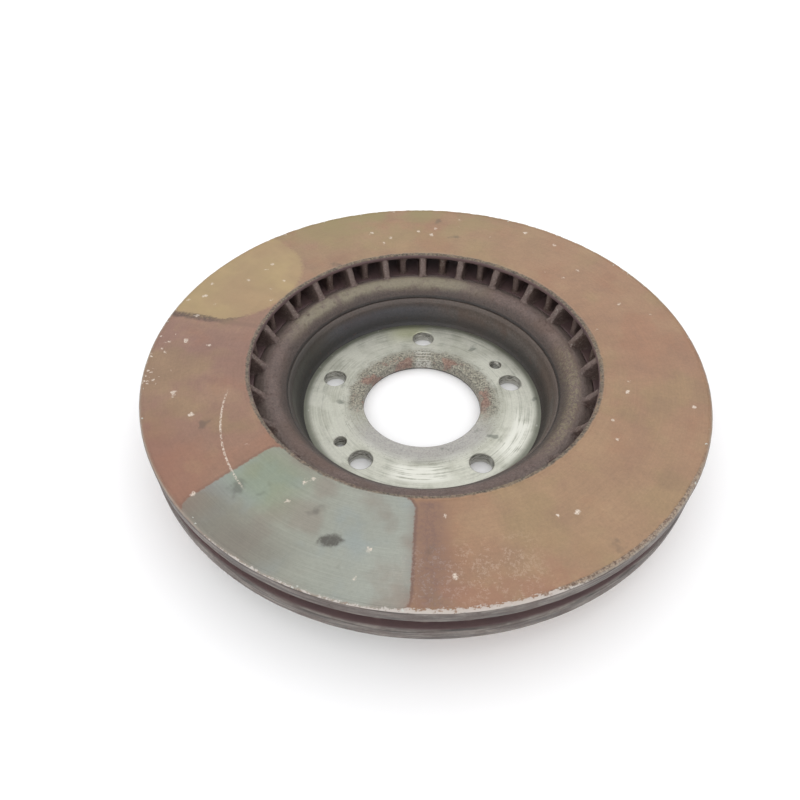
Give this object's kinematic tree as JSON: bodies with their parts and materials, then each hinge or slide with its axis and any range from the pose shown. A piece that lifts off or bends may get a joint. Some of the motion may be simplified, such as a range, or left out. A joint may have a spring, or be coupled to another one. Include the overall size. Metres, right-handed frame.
{
  "type": "brake disc rotor",
  "caption": "Used ventilated front brake disc with a deep hat, straight radial vanes, stud holes, threaded jacking holes and brown-stained worn friction faces",
  "frame": {"origin": "centre of the hat's wheel face, which is also the bottom of the part's box", "axes": "+Z along the axis of rotation, from the wheel side towards the vehicle; the part is round about Z, with a stud hole 18.8 degrees from +X"},
  "size_m": [0.308, 0.308, 0.0465],
  "materials": {
    "turned_iron": "satin",
    "cast_wall": "matte",
    "cast_skin": "matte",
    "rubbed_iron": "satin"
  },
  "bodies": {
    "root": {"mounting_flange": "turned_iron", "hat_wall": "cast_wall", "neck": "cast_skin", "outboard_plate": "rubbed_iron", "inboard_plate": "rubbed_iron", "long_vane_01": "cast_skin", "long_vane_02": "cast_skin", "long_vane_03": "cast_skin", "long_vane_04": "cast_skin", "long_vane_05": "cast_skin", "long_vane_06": "cast_skin", "long_vane_07": "cast_skin", "long_vane_08": "cast_skin", "long_vane_09": "cast_skin", "long_vane_10": "cast_skin", "long_vane_11": "cast_skin", "long_vane_12": "cast_skin", "long_vane_13": "cast_skin", "long_vane_14": "cast_skin", "long_vane_15": "cast_skin", "long_vane_16": "cast_skin", "long_vane_17": "cast_skin", "long_vane_18": "cast_skin", "long_vane_19": "cast_skin", "long_vane_20": "cast_skin", "long_vane_21": "cast_skin", "long_vane_22": "cast_skin", "long_vane_23": "cast_skin", "long_vane_24": "cast_skin", "short_vane_01": "cast_skin", "short_vane_02": "cast_skin", "short_vane_03": "cast_skin", "short_vane_04": "cast_skin", "short_vane_05": "cast_skin", "short_vane_06": "cast_skin", "short_vane_07": "cast_skin", "short_vane_08": "cast_skin", "short_vane_09": "cast_skin", "short_vane_10": "cast_skin", "short_vane_11": "cast_skin", "short_vane_12": "cast_skin", "short_vane_13": "cast_skin", "short_vane_14": "cast_skin", "short_vane_15": "cast_skin", "short_vane_16": "cast_skin", "short_vane_17": "cast_skin", "short_vane_18": "cast_skin", "short_vane_19": "cast_skin", "short_vane_20": "cast_skin", "short_vane_21": "cast_skin", "short_vane_22": "cast_skin", "short_vane_23": "cast_skin", "short_vane_24": "cast_skin"}
  },
  "joints": []
}
